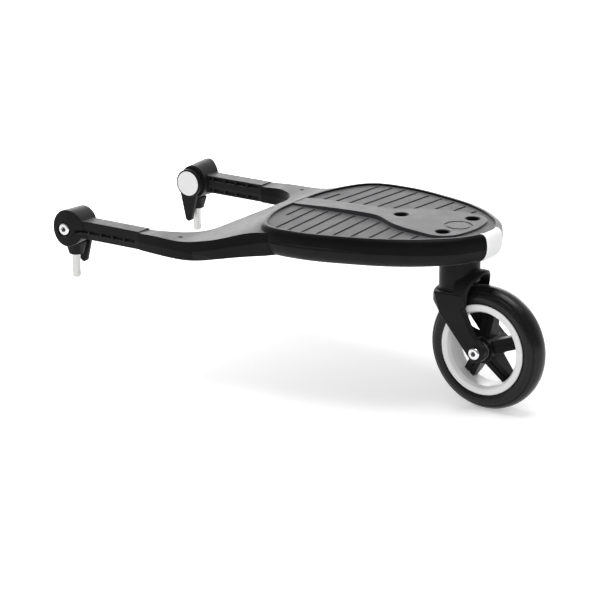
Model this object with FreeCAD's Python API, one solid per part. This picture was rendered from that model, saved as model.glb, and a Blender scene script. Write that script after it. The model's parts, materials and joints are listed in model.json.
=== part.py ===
import FreeCAD, Part
import math
import os

# Buggy board: a ride-on deck with one caster, hung behind a pushchair by two steel pins.
# Frame: +X from the pins to the tail, +Y to the left, +Z up. The origin is midway between
# the two pins, level with the shoulders that they stand out of. All sizes are in millimetres.

V = FreeCAD.Vector
X_AXIS = V(1, 0, 0)
Y_AXIS = V(0, 1, 0)
Z_AXIS = V(0, 0, 1)

# General clearances
FIT = 0.15                   # between pieces that are fixed together
THREAD_FIT = 0.02            # round a thread or a pressed piece
RUN = 0.05                   # radial running fit of a shaft in its bore
GAP = 0.4                    # between faces that pass each other
REACH = 400.0                # longer than any piece, for cutting tools
OVER = 1.0                   # how far a cutting tool runs past a face

# Ground and hub height
SHOULDER_H = 132.0           # pin shoulders above the floor
HUB_H = 34.2                 # hub axis above the pin shoulders

# Connector pin
PIN_R = 5.0
PIN_LENGTH = 29.0
PIN_BORE_R = 2.5
PIN_ROOT_R = 4.6             # part of the pin inside the boss
PIN_RELIEF = 0.5             # neck between the boss and the pin's full width
PIN_Y = 122.3
PIN_TIP_BEVEL = 1.2
BALL_R = 1.4
BALL_SETBACK = 5.5           # lock balls above the pin's tip

# Connector
DRUM_R = 12.0
BOSS_H = 13.0                # height of the tapered boss
BOSS_TOP_HALF_X = 10.0
BOSS_TOP_HALF_Y = 10.6
BOSS_TOP_CORNER = 5.5
BOSS_BOTTOM_R = 8.2
BOSS_BOTTOM_CORNER = 7.8
NECK_HALF = 7.2
CONNECTOR_MIN_DEG = -10.0
CONNECTOR_MAX_DEG = 85.0
SWING_MARGIN_DEG = 2.0

# Hub at the end of each arm
HUB_OUT_Y = 146.2            # outer face
HUB_IN_Y = 109.6             # inner face
CHEEK_T = 12.2               # wall that carries the pivot bolt
HUB_HALF_X = 19.4            # at the outer face
HUB_HALF_Z = 22.4
HUB_IN_HALF_X = 18.6         # at the inner face
HUB_IN_HALF_Z = 20.4
HUB_SHIFT_X = 3.6            # hub outline's centre from the pivot axis
HUB_SHIFT_Z = 1.6
HUB_EDGE_R = 2.4
BOLT_SHOULDER_R = 5.0
BOLT_THREAD_R = 4.0
BOLT_THREAD_L = 6.5
BOLT_HEAD_R = 7.5
BOLT_HEAD_T = 3.4
BOLT_HEAD_ROUND = 2.0
BOLT_RECESS_R = 9.0
BOLT_RECESS_DEPTH = 3.8
HEX_R = 3.4                  # corner radius of the hex sockets
HEX_DEPTH = 2.4
BUSH_WALL = 2.0
INSERT_WALL = 2.0

# Release lever
LEVER_R = 17.3
LEVER_T = 6.2
LEVER_GAP = 0.6              # lever disc to hub
TONGUE_LENGTH = 48.0
TONGUE_ROOT_HALF = 12.5
TONGUE_TIP_R = 4.75
TONGUE_T = 4.4
LEVER_SHAFT_R = 6.0
LEVER_SHAFT_L = 7.2
ECCENTRIC = 3.6
ECCENTRIC_R = 1.8
LEVER_TURN_DEG = 60.0
CAP_R = 15.3
CAP_T = 2.4
CAP_SEAT = 1.6               # depth of the cap in the lever
CAP_EDGE_R = 0.8
LEVER_EDGE_R = 0.6
TONGUE_SETBACK = 1.2
RETAINER_R = 1.0             # dowel that holds the lever's shaft

# Plunger in the pin
PLUNGER_R = 2.3
PLUNGER_TIP_R = 2.0
PLUNGER_TIP_L = 9.0
PIN_END_WALL = 3.0
PIN_TOP_GAP = 1.4            # pin's top below the plunger's head
PLUNGER_HEAD_T = 4.6
PLUNGER_HEAD_H = 8.6
PLUNGER_HEAD_WALL = 1.6
YOKE_CLEAR = 0.25

# Extension arm
ARM_W = 22.0
ARM_H = 21.8
ARM_IN_Y = 114.0
ARM_SEAM_X = 102.1
ARM_TAPER = 2.4              # lower edge pulled in on each side
ARM_EDGE_R = 1.4
ARM_BELT = 0.45              # share of the height below the parting line
NECK_START_X = 6.0           # hub's outer face slants in from here
NECK_END_X = 27.0            # and meets the arm's side here
HUMP_X = 14.4                # hub's shoulder above the arm
HUMP_H = 18.6
HUMP_END_X = 21.0
SLOT_COUNT = 5
SLOT_START_X = 13.6
SLOT_PITCH = 17.2
SLOT_BRIDGE = 2.6
SLOT_H = 4.8
SLOT_DEPTH = 4.5
SLOT_ROW_Z = 7.0             # inner rows above and below the arm's middle
SLOT_OUTER_DROP = 2.0        # outer row below the arm's middle
SPIGOT_W = 15.0
SPIGOT_H = 11.6
SPIGOT_L = 72.0

# Lock button in each frame leg
BUTTON_X = 155.2
BUTTON_R = 2.5
BUTTON_FLANGE_R = 4.2
BUTTON_FLANGE_T = 1.6
BUTTON_SINK = 0.9            # button's top below the frame's top
BUTTON_ROUND = 0.75
BUTTON_CAP = 1.8             # spigot's wall above the button's flange
SPRING_WALL = 0.5            # ring spring under the button
SPRING_W = 4.0
SPIGOT_FLOOR = 1.6

# U-shaped frame
FRAME_OUTER = [(163.0, 141.0), (192.0, 140.6), (221.0, 137.6), (246.0, 131.0), (272.0, 122.0)]
FRAME_INNER_R = 48.0
CROSSBAR_X = 168.0           # front edge of the crossbar
FRAME_END_X = 300.0
FRAME_END_HALF = 100.0
RAMP_START_X = 160.0
RAMP_LENGTH = 102.0
# Ramp stations: along the ramp, top at the sides, top in the middle, underside
RAMP = [(0.0, 0.0, 0.0, 0.0), (0.16, 0.05, 0.06, 0.05), (0.31, 0.145, 0.23, 0.18),
        (0.60, 0.375, 0.67, 0.57), (0.78, 0.55, 0.94, 0.79), (1.0, 0.735, 0.985, 1.0),
        (1.45, 0.95, 1.0, 1.19)]
RAMP_SIDE_Y = 150.0
BELLY_DIP = 0.8              # underside bows down between seam and ramp
FRAME_LEAD = 8.0             # surfaces start this far before the seam and are trimmed to it

# Deck
DECK_FRONT_X = 228.0
DECK_LENGTH = 276.0
DECK_HALF_W = 123.5
DECK_TILT_DEG = 0.9          # tail up
RIM_TOP_Z = 73.3             # at the deck's front
RIM_W = 8.6
RIM_LIP = 2.5                # rim above the tread
DECK_UPPER_H = 15.3          # rim top to the parting line
DECK_LOWER_H = 18.4          # parting line to the underside
DECK_WALL = 4.0
PART_GROOVE_H = 1.7          # shadow line under the deck's parting line
PART_GROOVE_DEPTH = 1.3
# Half outline of the deck: share of the length, share of the half width
DECK_OUTLINE = [(0.0, 0.0), (0.010, 0.405), (0.054, 0.72), (0.108, 0.905), (0.170, 0.981),
                (0.243, 1.0), (0.370, 0.985), (0.514, 0.908), (0.674, 0.788), (0.768, 0.678),
                (0.851, 0.546), (0.915, 0.410), (0.972, 0.228), (0.9935, 0.110), (1.0, 0.0)]
# Bullnose: share of the band's height away from the parting line, inset
UPPER_BULGE = [(0.35, 0.2), (0.68, 1.1), (0.90, 3.2), (1.0, 6.2)]
LOWER_BULGE = [(0.30, 0.6), (0.62, 2.8), (0.86, 6.8), (1.0, 12.4)]
OUTLINE_SAMPLES = 18
CAVITY_INSET = 17.0
RIB_T = 3.0
RIB_PITCH = 62.0

# Joint between the yoke, which carries the arms, and the deck
YOKE_END_X = 183.0
# Parting line of the mouldings: along the ramp and share of its rise, then along the deck
PARTING_RAMP = [(0.31, 0.17), (0.60, 0.46), (0.82, 0.70)]
PARTING_DECK = [0.22, 0.6, 1.07]

# Tread, centre plate and badge
MAT_T = 2.6
MAT_BAND = 7.0               # least width of tread beside the plate
GROOVE_W = 4.0
GROOVE_DEPTH = 1.5
GROOVE_MARGIN = 4.5
GROOVE_PLATE_GAP = 3.0
GROOVE_SKEW_DEG = 4.0
GROOVE_COUNT = 10
GROOVE_SETBACK = 22.5        # first groove from the deck's front
GROOVE_PITCH = 16.3
GROOVE_SPREAD = 0.37         # the pitch widens by twice this from groove to groove
GROOVE_FIRST_END = 56.0
PLATE_TAIL_GAP = 27.0        # plate's tail to the deck's tail
SPINE_HALF = 14.0
PLATE_HALF = 51.5
# Half outline of the plate: share of its length, share of the flare
PLATE_OUTLINE = [(0.0, 0.0), (0.26, 0.0), (0.40, 0.01), (0.485, 0.07), (0.564, 0.34),
                 (0.636, 0.62), (0.737, 0.84), (0.839, 0.95), (0.905, 0.96)]
PLATE_TAIL = [(0.962, 0.78), (0.991, 0.38), (1.0, 0.0)]
PLATE_RISE = 2.2             # at the ends, above the tread
PLATE_CROWN = 3.0            # more at the middle
BADGE_R = 13.2
BADGE_RING_R = 16.4
BADGE_RING_DEPTH = 0.7
BADGE_T = 2.0
BADGE_SETBACK = 50.0         # from the deck's tail
STRIP_HALF = 16.8
STRIP_T = 1.2
STRIP_DROP = 16.8            # strip below the parting line

# Seat sockets
SOCKET_R = 7.3
SOCKET_WALL = 1.7
SOCKET_DEPTH = 20.0
SOCKET_FLOOR = 2.0
SOCKET_LAND = 3.0            # least width of plate round a cup
SOCKET_SINK = 0.5            # cup's rim below the plate
SOCKET_FRONT_SETBACK = 127.0
SOCKET_REAR_SETBACK = 51.0
SOCKET_REAR_Y = 32.5

# Screws that join the two mouldings, from below
SCREW_HEAD_R = 3.2
SCREW_HEAD_T = 2.4
SCREW_R = 1.7
SCREW_SINK = 1.2
SCREW_POST_R = 6.0
SCREW_TIP_GAP = 3.0          # screw tip below the mat
SCREW_ALONG = [0.152, 0.388, 0.623]  # share of the deck's length
SCREW_EDGE = 27.0            # in from the deck's edge
LEG_SCREW_X = [190.0, 215.0]
LEG_SCREW_Y = 112.0
LEG_SCREW_L = 17.0

# Caster
STEM_SETBACK = 47.5          # stem axis from the deck's tail
STEM_R = 6.0
HOUSING_R = 23.6
HOUSING_BOSS_R = 19.6        # part of the housing inside the chassis
HOUSING_SEAT = 4.0           # housing's shoulder above the deck's underside
COLLAR_H = 3.0               # housing below the deck's underside
HOUSING_TOP = 197.0          # above the floor
SWIVEL_BUSH_R = 10.0
SWIVEL_BUSH_L = 7.5
SWIVEL_FLANGE_R = 14.0
SWIVEL_FLANGE_T = 1.5
TOP_POCKET_R = 15.0
TOP_POCKET_DEPTH = 5.0
CLIP_T = 1.2
CLIP_R = 9.5
CLIP_GROOVE = 0.9
CLIP_MOUTH = 3.6             # half its opening
STEM_TOP_GAP = 0.8
THRUST_T = 1.4
HOUSING_SCREW_PCD_R = 17.2
HOUSING_SCREW_L = 16.0
HOUSING_SCREW_COUNT = 3

# Fork
TRAIL = 39.6
CROWN_H = 138.0              # crown's top above the floor
SEAM_W = 0.9                 # groove round the column's foot
SEAM_DEPTH = 0.8
CROWN_R = 30.0
CROWN_ROUND = 9.0
CROWN_FLAT_H = 7.0           # straight side of the crown
CROWN_CONE_H = 18.0
CROWN_CONE_R = 22.0
FORK_IN_Y = 20.5
FORK_OUT_Y = 29.5
FORK_EDGE_R = 1.2
TYRE_CLEAR = 3.5
HOOD_R = 28.0
HOOD_WALL = 3.4
HOOD_AXIS_H = 134.0          # above the floor
HOOD_REACH = 35.0            # from the stem axis
HOOD_END_R = 2.4             # rounding of the hood's open end
HOOD_START = 8.0             # hood begins this far behind the stem axis
STEM_SINK = 26.0             # stem in the column
BLADE_END_R = 11.5
# Blade outline: upper points from the stem axis and the crown, lower ones from the axle
BLADE_FRONT_TOP = (-16.5, -1.6)
BLADE_FRONT_KNEE = (-9.7, -25.0)
BLADE_REAR_TOP = (21.4, -1.0)
BLADE_REAR_KNEE = (19.6, -16.0)
BLADE_REAR_LOW = (-6.6, 21.5)
BLADE_END_TURN = math.radians(25.0)

# Wheel
WHEEL_R = 72.5
TYRE_HALF_W = 15.2
TYRE_BEAD_HALF = 12.6
TYRE_SEAT_R = 51.5
TYRE_BEAD_H = 5.0
TYRE_WALL_BULGE = 0.6
TYRE_BELLY_H = 9.0           # widest place above the seat
TYRE_SHOULDER_H = 6.0
TYRE_SHOULDER_IN = 2.9
TYRE_CROWN_DROP = 1.7        # tread's fall halfway to the shoulder
TYRE_CROWN_HALF = 7.5
TYRE_GROOVE_R = 1.2          # round groove along each shoulder
RIM_LIP_R = 53.2
RIM_FACE = 16.2
RIM_LIP_BACK = 1.2           # slant of the lip behind the bead
RIM_BEVEL = 1.0
RIM_BARREL_R = 45.6
RIM_WAIST_R = 43.6
RIM_WAIST_HALF = 11.0
SPOKE_COUNT = 5
SPOKE_PHASE_DEG = -54.5
SPOKE_W = 15.0
SPOKE_FAR_Y = 10.0           # back face of the spokes
SPOKE_HUB_Y = -11.0          # front face at the hub
SPOKE_RIM_Y = 1.0            # front face at the rim
SPOKE_CHANNEL_W = 2.4
SPOKE_CHANNEL_DEPTH = 1.6
WHEEL_HUB_R = 15.0
WHEEL_HUB_HALF = 17.0
WHEEL_BORE_R = 8.0
BEARING_R = 11.0
BEARING_W = 7.0
AXLE_R = 4.0
AXLE_HEAD_R = 7.1
AXLE_HEAD_T = 4.6
AXLE_HEAD_ROUND = 2.3
AXLE_NUT_R = 7.4
AXLE_NUT_T = 5.0
AXLE_END = 1.5
SPACER_R = 7.2

# Derived places
FLOOR_Z = -SHOULDER_H
DECK_TAIL_X = DECK_FRONT_X + DECK_LENGTH
DECK_PART_Z = RIM_TOP_Z - DECK_UPPER_H
TREAD_Z = RIM_TOP_Z - RIM_LIP
WELL_Z = TREAD_Z - MAT_T
ARM_OUT_Y = ARM_IN_Y + ARM_W
ARM_MID_Y = ARM_IN_Y + ARM_W / 2
ARM_TOP_Z = HUB_H + ARM_H / 2
ARM_BOTTOM_Z = HUB_H - ARM_H / 2
ARM_BELT_Z = ARM_BOTTOM_Z + ARM_H * ARM_BELT
CHEEK_Y = HUB_OUT_Y - CHEEK_T
DRUM_OUT_Y = CHEEK_Y - GAP / 2
LEVER_OUT_Y = HUB_IN_Y - LEVER_GAP
LEVER_IN_Y = LEVER_OUT_Y - LEVER_T
STEM_X = DECK_TAIL_X - STEM_SETBACK
AXLE_X = STEM_X + TRAIL
AXLE_Z = FLOOR_Z + WHEEL_R
DECK_TIP = math.tan(math.radians(DECK_TILT_DEG))
DECK_UNDER_Z = DECK_PART_Z - DECK_LOWER_H + (STEM_X - DECK_FRONT_X) * DECK_TIP
HOUSING_BOTTOM_Z = DECK_UNDER_Z - COLLAR_H
HOUSING_SHOULDER_Z = DECK_UNDER_Z + HOUSING_SEAT
HOUSING_TOP_Z = FLOOR_Z + HOUSING_TOP
COLUMN_TOP_Z = HOUSING_BOTTOM_Z - GAP
WASHER_Z = HOUSING_BOTTOM_Z - GAP / 2 - THRUST_T
CROWN_TOP_Z = FLOOR_Z + CROWN_H
SOCKET_X = [DECK_TAIL_X - SOCKET_FRONT_SETBACK, DECK_TAIL_X - SOCKET_REAR_SETBACK,
            DECK_TAIL_X - SOCKET_REAR_SETBACK]
SOCKET_Y = [0.0, SOCKET_REAR_Y, -SOCKET_REAR_Y]
BADGE_X = DECK_TAIL_X - BADGE_SETBACK


def box(x0, x1, y0, y1, z0, z1):
    return Part.makeBox(x1 - x0, y1 - y0, z1 - z0, V(x0, y0, z0))


def rod_y(radius, y0, y1, x=0.0, z=HUB_H):
    return Part.makeCylinder(radius, y1 - y0, V(x, y0, z), Y_AXIS)


def rod_z(radius, z0, z1, x=0.0, y=0.0):
    return Part.makeCylinder(radius, z1 - z0, V(x, y, z0), Z_AXIS)


def plate_xz(points, y0, y1):
    corners = [V(x, y0, z) for x, z in points]
    face = Part.Face(Part.makePolygon(corners + corners[:1]))
    return face.extrude(V(0, y1 - y0, 0))


def plate_yz(points, x0, x1):
    corners = [V(x0, y, z) for y, z in points]
    face = Part.Face(Part.makePolygon(corners + corners[:1]))
    return face.extrude(V(x1 - x0, 0, 0))


def plate_xy(points, z0, z1):
    corners = [V(x, y, z0) for x, y in points]
    face = Part.Face(Part.makePolygon(corners + corners[:1]))
    return face.extrude(V(0, 0, z1 - z0))


def hexagon_y(radius, y0, y1, x, z):
    corners = []
    for k in range(6):
        turn = math.radians(60 * k)
        corners.append((x + radius * math.cos(turn), z + radius * math.sin(turn)))
    return plate_xz(corners, y0, y1)


def turned_y(points, x, z):
    """Ring or disc about an axis along Y, from a closed outline of (radius, y)."""
    corners = [V(x + r, y, z) for r, y in points]
    face = Part.Face(Part.makePolygon(corners + corners[:1]))
    return face.revolve(V(x, 0, z), Y_AXIS, 360)


def turned_z(points, x, y):
    """Ring or disc about an axis along Z, from a closed outline of (radius, z)."""
    corners = [V(x + r, y, z) for r, z in points]
    face = Part.Face(Part.makePolygon(corners + corners[:1]))
    return face.revolve(V(x, y, 0), Z_AXIS, 360)


def spline(points):
    curve = Part.BSplineCurve()
    curve.interpolate(points)
    return curve.toShape()


def union(first, *rest):
    return first.fuse(list(rest)).removeSplitter()


def mirrored(shape):
    return shape.mirror(V(0, 0, 0), Y_AXIS)


def round_edges(shape, radius, chosen):
    return shape.makeFillet(radius, [edge for edge in shape.Edges if chosen(edge)])


def tilted(shape):
    """Deck pieces are drawn level and then tipped, tail up, about the deck's front edge."""
    tipped = shape.copy()
    tipped.rotate(V(DECK_FRONT_X, 0, RIM_TOP_Z), Y_AXIS, -DECK_TILT_DEG)
    return tipped


def save(name, shape):
    shape.exportStep("parts/%s.step" % name)


def save_pair(name, left):
    save(name + "_left", left)
    save(name + "_right", mirrored(left))


def deck_wire(z, inset):
    """Closed outline of the deck at height z, drawn in by inset."""
    half = [V(DECK_FRONT_X + u * DECK_LENGTH, v * DECK_HALF_W, 0) for u, v in DECK_OUTLINE]
    curve = Part.BSplineCurve()
    curve.interpolate(half, InitialTangent=Y_AXIS, FinalTangent=-Y_AXIS)
    first, last = curve.FirstParameter, curve.LastParameter
    points = []
    for k in range(OUTLINE_SAMPLES + 1):
        at = first + (last - first) * k / OUTLINE_SAMPLES
        point = curve.value(at)
        along = curve.tangent(at)[0]
        inward = V(along.y, -along.x, 0)
        points.append(point + inward * inset + V(0, 0, z))
    edge = Part.BSplineCurve()
    edge.interpolate(points, InitialTangent=Y_AXIS, FinalTangent=-Y_AXIS)
    left = edge.toShape()
    return Part.Wire([left, mirrored(left)])


def deck_prism(z0, z1, inset):
    return Part.Face(deck_wire(z0, inset)).extrude(V(0, 0, z1 - z0))


def deck_bullnose(inset):
    """The deck's whole rounded body, drawn in by inset on every side."""
    sections = []
    for share, bulge in reversed(LOWER_BULGE):
        sections.append(deck_wire(DECK_PART_Z - share * (DECK_LOWER_H - inset), bulge + inset))
    sections.append(deck_wire(DECK_PART_Z, inset))
    for share, bulge in UPPER_BULGE:
        sections.append(deck_wire(DECK_PART_Z + share * (DECK_UPPER_H - inset), bulge + inset))
    return Part.makeLoft(sections, True, False)


def deck_half_at(along):
    """Half width of the deck at a share of its length."""
    for (a, low), (b, high) in zip(DECK_OUTLINE, DECK_OUTLINE[1:]):
        if a <= along <= b:
            return DECK_HALF_W * (low + (high - low) * (along - a) / (b - a))
    return 0.0


def frame_wire(z, inset):
    """U-shaped outline of the frame seen from above, drawn in by inset."""
    inner_y = ARM_IN_Y + inset
    arc_x = CROSSBAR_X - FRAME_INNER_R
    arc_y = ARM_IN_Y - FRAME_INNER_R
    radius = FRAME_INNER_R + inset
    slant = radius * math.sqrt(0.5)
    outer = [V(ARM_SEAM_X, ARM_OUT_Y - inset, z)] + [V(x, y - inset, z) for x, y in FRAME_OUTER]
    end = V(FRAME_END_X, FRAME_END_HALF - inset, z)

    def flip(p):
        return V(p.x, -p.y, p.z)

    seam_in = V(ARM_SEAM_X, inner_y, z)
    arc_start = V(arc_x, inner_y, z)
    arc_mid = V(arc_x + slant, arc_y + slant, z)
    arc_end = V(arc_x + radius, arc_y, z)
    edges = [
        Part.LineSegment(seam_in, arc_start).toShape(),
        Part.Arc(arc_start, arc_mid, arc_end).toShape(),
        Part.LineSegment(arc_end, flip(arc_end)).toShape(),
        Part.Arc(flip(arc_end), flip(arc_mid), flip(arc_start)).toShape(),
        Part.LineSegment(flip(arc_start), flip(seam_in)).toShape(),
        Part.LineSegment(flip(seam_in), flip(outer[0])).toShape(),
        spline([flip(p) for p in outer]),
        Part.LineSegment(flip(outer[-1]), flip(end)).toShape(),
        Part.LineSegment(flip(end), end).toShape(),
        Part.LineSegment(end, outer[-1]).toShape(),
        spline(list(reversed(outer))),
        Part.LineSegment(outer[0], seam_in).toShape(),
    ]
    return Part.Wire(edges)


def frame_plan():
    """Tall body on the frame's outline, with sides that taper in below the belt line."""
    tall = Part.Face(frame_wire(ARM_BELT_Z, 0.0)).extrude(V(0, 0, REACH))
    depth = ARM_BELT_Z - ARM_BOTTOM_Z
    low = ARM_BOTTOM_Z - depth
    taper = Part.makeLoft([frame_wire(ARM_BELT_Z, 0.0), frame_wire(low, 2 * ARM_TAPER)], True, True)
    return union(tall, taper)


def frame_band():
    """Space between the frame's crowned top, which ramps up to the deck, and its underside."""
    top_rise = RIM_TOP_Z - ARM_TOP_Z - GAP
    under_rise = DECK_PART_Z - DECK_LOWER_H - ARM_BOTTOM_Z
    before = [(ARM_SEAM_X - FRAME_LEAD, 0.0), ((ARM_SEAM_X + RAMP_START_X) / 2, BELLY_DIP)]
    stations = [(x, ARM_TOP_Z, ARM_TOP_Z, ARM_BOTTOM_Z - dip) for x, dip in before]
    for along, side, middle, under in RAMP:
        x = RAMP_START_X + along * RAMP_LENGTH
        side_z = ARM_TOP_Z + side * top_rise
        middle_z = ARM_TOP_Z + middle * top_rise
        dip = BELLY_DIP * max(0.0, 1 - 2 * along)
        stations.append((x, side_z, middle_z, ARM_BOTTOM_Z + under * under_rise - dip))
    wires = []
    for x, side_z, middle_z, under_z in stations:
        left = V(x, RAMP_SIDE_Y, side_z)
        right = V(x, -RAMP_SIDE_Y, side_z)
        low_left = V(x, RAMP_SIDE_Y, under_z)
        low_right = V(x, -RAMP_SIDE_Y, under_z)
        wires.append(Part.Wire([
            spline([right, V(x, 0, middle_z), left]),
            Part.LineSegment(left, low_left).toShape(),
            Part.LineSegment(low_left, low_right).toShape(),
            Part.LineSegment(low_right, right).toShape(),
        ]))
    return Part.makeLoft(wires, True, False)


def below_parting():
    """Everything under the line where the two chassis mouldings meet."""
    side = -REACH / 2
    points = [V(ARM_SEAM_X - FRAME_LEAD, side, ARM_BELT_Z), V(RAMP_START_X, side, ARM_BELT_Z)]
    rise = DECK_PART_Z - ARM_BELT_Z
    for along, share in PARTING_RAMP:
        points.append(V(RAMP_START_X + along * RAMP_LENGTH, side, ARM_BELT_Z + share * rise))
    for along in PARTING_DECK:
        x = DECK_FRONT_X + along * DECK_LENGTH
        points.append(V(x, side, deck_level(DECK_PART_Z, x)))
    low_end = V(points[-1].x, side, FLOOR_Z)
    low_start = V(points[0].x, side, FLOOR_Z)
    edges = [
        spline(points),
        Part.LineSegment(points[-1], low_end).toShape(),
        Part.LineSegment(low_end, low_start).toShape(),
        Part.LineSegment(low_start, points[0]).toShape(),
    ]
    return Part.Face(Part.Wire(edges)).extrude(V(0, REACH, 0))


def spigot_pocket():
    half_h = SPIGOT_H / 2 + FIT
    half_w = SPIGOT_W / 2 + FIT
    return box(ARM_SEAM_X - OVER, ARM_SEAM_X + SPIGOT_L + GAP, ARM_MID_Y - half_w, ARM_MID_Y + half_w,
               HUB_H - half_h, HUB_H + half_h)


def screw_up(x, y, head_z, tip_z):
    """Screw that points up, with its head's underside at head_z."""
    head = rod_z(SCREW_HEAD_R, head_z, head_z + SCREW_HEAD_T, x, y)
    return head.fuse(rod_z(SCREW_R, head_z, tip_z, x, y))


def screw_hole(x, y, head_z, tip_z):
    """Room for such a screw, open downwards."""
    head = rod_z(SCREW_HEAD_R + FIT, FLOOR_Z, head_z + SCREW_HEAD_T, x, y)
    return head.fuse(rod_z(SCREW_R + THREAD_FIT, head_z, tip_z, x, y))


def plate_wire(z, grow):
    """Outline of the centre plate, made larger by grow."""
    start, end = plate_span()
    length = end - start
    flare = PLATE_HALF - SPINE_HALF
    half = [V(start + u * length, SPINE_HALF + w * flare + grow, z) for u, w in PLATE_OUTLINE]
    half += [V(start + u * length + grow, w * PLATE_HALF, z) for u, w in PLATE_TAIL]
    other = [V(p.x, -p.y, z) for p in reversed(half[:-1])]
    front = Part.LineSegment(other[-1], half[0]).toShape()
    return Part.Wire([spline(half + other), front])


def plate_prism(z0, z1, grow):
    block = Part.Face(plate_wire(z0, grow)).extrude(V(0, 0, z1 - z0))
    land = SOCKET_R + SOCKET_WALL + SOCKET_LAND + grow
    room = [plate_lead(z0, z1)] + [rod_z(land, z0, z1, x, y) for x, y in zip(SOCKET_X, SOCKET_Y)]
    return block.common(deck_prism(z0, z1, RIM_W + MAT_BAND - grow).fuse(room))


def plate_lead(z0, z1):
    """Where the plate runs out to the deck's front rim."""
    return box(DECK_FRONT_X, DECK_FRONT_X + DECK_LENGTH / 2, -PLATE_HALF, PLATE_HALF, z0, z1)


def plate_span():
    start = DECK_FRONT_X + RIM_W
    return start, DECK_TAIL_X - PLATE_TAIL_GAP


def under_crown(drop):
    """Space below the plate's crowned top, lowered by drop."""
    start, end = plate_span()
    half = (end - start) / 2
    radius = (half ** 2 + PLATE_CROWN ** 2) / (2 * PLATE_CROWN)
    peak = TREAD_Z + PLATE_RISE + PLATE_CROWN - drop
    return rod_y(radius, -REACH / 2, REACH / 2, start + half, peak - radius)


def plate_top_z(x):
    """Height of the finished, tipped plate on its centre line."""
    start, end = plate_span()
    along = (2 * x - start - end) / (end - start)
    return deck_level(TREAD_Z + PLATE_RISE + PLATE_CROWN * (1 - along ** 2), x)


def deck_level(z, x):
    """Height at x of a level deck plane after the deck is tipped."""
    return z + (x - DECK_FRONT_X) * DECK_TIP


def socket_cups():
    cups = []
    for x, y in zip(SOCKET_X, SOCKET_Y):
        top = plate_top_z(x) - SOCKET_SINK
        low = top - SOCKET_DEPTH
        cup = rod_z(SOCKET_R + SOCKET_WALL, low - SOCKET_FLOOR, top, x, y)
        cups.append(cup.cut(rod_z(SOCKET_R, low, top + OVER, x, y)))
    return cups


def socket_holes():
    holes = []
    for x, y in zip(SOCKET_X, SOCKET_Y):
        low = plate_top_z(x) - SOCKET_SINK - SOCKET_DEPTH - SOCKET_FLOOR
        holes.append(rod_z(SOCKET_R + SOCKET_WALL + FIT, low, RIM_TOP_Z + REACH, x, y))
    return holes


def tread_and_plate():
    """Two grooved mats, the centre plate and the bare badge disc, in the deck's well."""
    well = deck_prism(WELL_Z, RIM_TOP_Z + REACH, RIM_W + FIT)
    plate = plate_prism(WELL_Z, RIM_TOP_Z + REACH, 0.0).common(under_crown(0.0)).common(well)
    ring = rod_z(BADGE_RING_R, WELL_Z, RIM_TOP_Z + REACH, BADGE_X).cut(under_crown(BADGE_RING_DEPTH))
    badge_low = TREAD_Z + PLATE_RISE - BADGE_T
    badge = rod_z(BADGE_R, badge_low, RIM_TOP_Z + REACH, BADGE_X).common(under_crown(0.0))
    plate = plate.cut([ring, rod_z(BADGE_R, badge_low, RIM_TOP_Z + REACH, BADGE_X)])
    plate = tilted(plate).cut(socket_holes())

    groove_field = deck_prism(TREAD_Z - GROOVE_DEPTH, RIM_TOP_Z, RIM_W + GROOVE_MARGIN)
    groove_field = groove_field.cut(plate_prism(WELL_Z, RIM_TOP_Z, GROOVE_PLATE_GAP))
    grooves = []
    for k in range(GROOVE_COUNT):
        x = DECK_FRONT_X + GROOVE_SETBACK + GROOVE_PITCH * k + GROOVE_SPREAD * k ** 2
        end = GROOVE_FIRST_END if k == 0 else DECK_HALF_W
        groove = box(x, x + GROOVE_W, 0, end, WELL_Z, RIM_TOP_Z)
        groove.rotate(V(x, 0, 0), Z_AXIS, -GROOVE_SKEW_DEG)
        grooves.append(groove.common(groove_field))
    half = box(0, DECK_TAIL_X, FIT, DECK_HALF_W, WELL_Z, TREAD_Z)
    mat = deck_prism(WELL_Z, TREAD_Z, RIM_W + FIT).common(half)
    mat = mat.cut(plate_prism(WELL_Z, RIM_TOP_Z, FIT))
    mat = tilted(mat.cut(grooves)).cut(socket_holes())
    return mat, plate, tilted(badge)


def cover_screw_places():
    """Places, head heights and tip heights of the screws from below."""
    places = []
    for along in SCREW_ALONG:
        x = DECK_FRONT_X + along * DECK_LENGTH
        y = deck_half_at(along) - SCREW_EDGE
        head = deck_level(DECK_PART_Z - DECK_LOWER_H, x) + SCREW_SINK
        tip = deck_level(WELL_Z, x) - SCREW_TIP_GAP
        places += [(x, y, head, tip), (x, -y, head, tip)]
    for x in LEG_SCREW_X:
        head = frame_underside(x) + SCREW_SINK
        places += [(x, side * LEG_SCREW_Y, head, head + LEG_SCREW_L) for side in (1, -1)]
    return places


def frame_underside(x):
    """Height of the ramp's underside at x, between its stations."""
    rise = DECK_PART_Z - DECK_LOWER_H - ARM_BOTTOM_Z
    along = (x - RAMP_START_X) / RAMP_LENGTH
    for (a, _, _, low), (b, _, _, high) in zip(RAMP, RAMP[1:]):
        if a <= along <= b:
            return ARM_BOTTOM_Z + rise * (low + (high - low) * (along - a) / (b - a))
    return ARM_BOTTOM_Z


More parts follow.
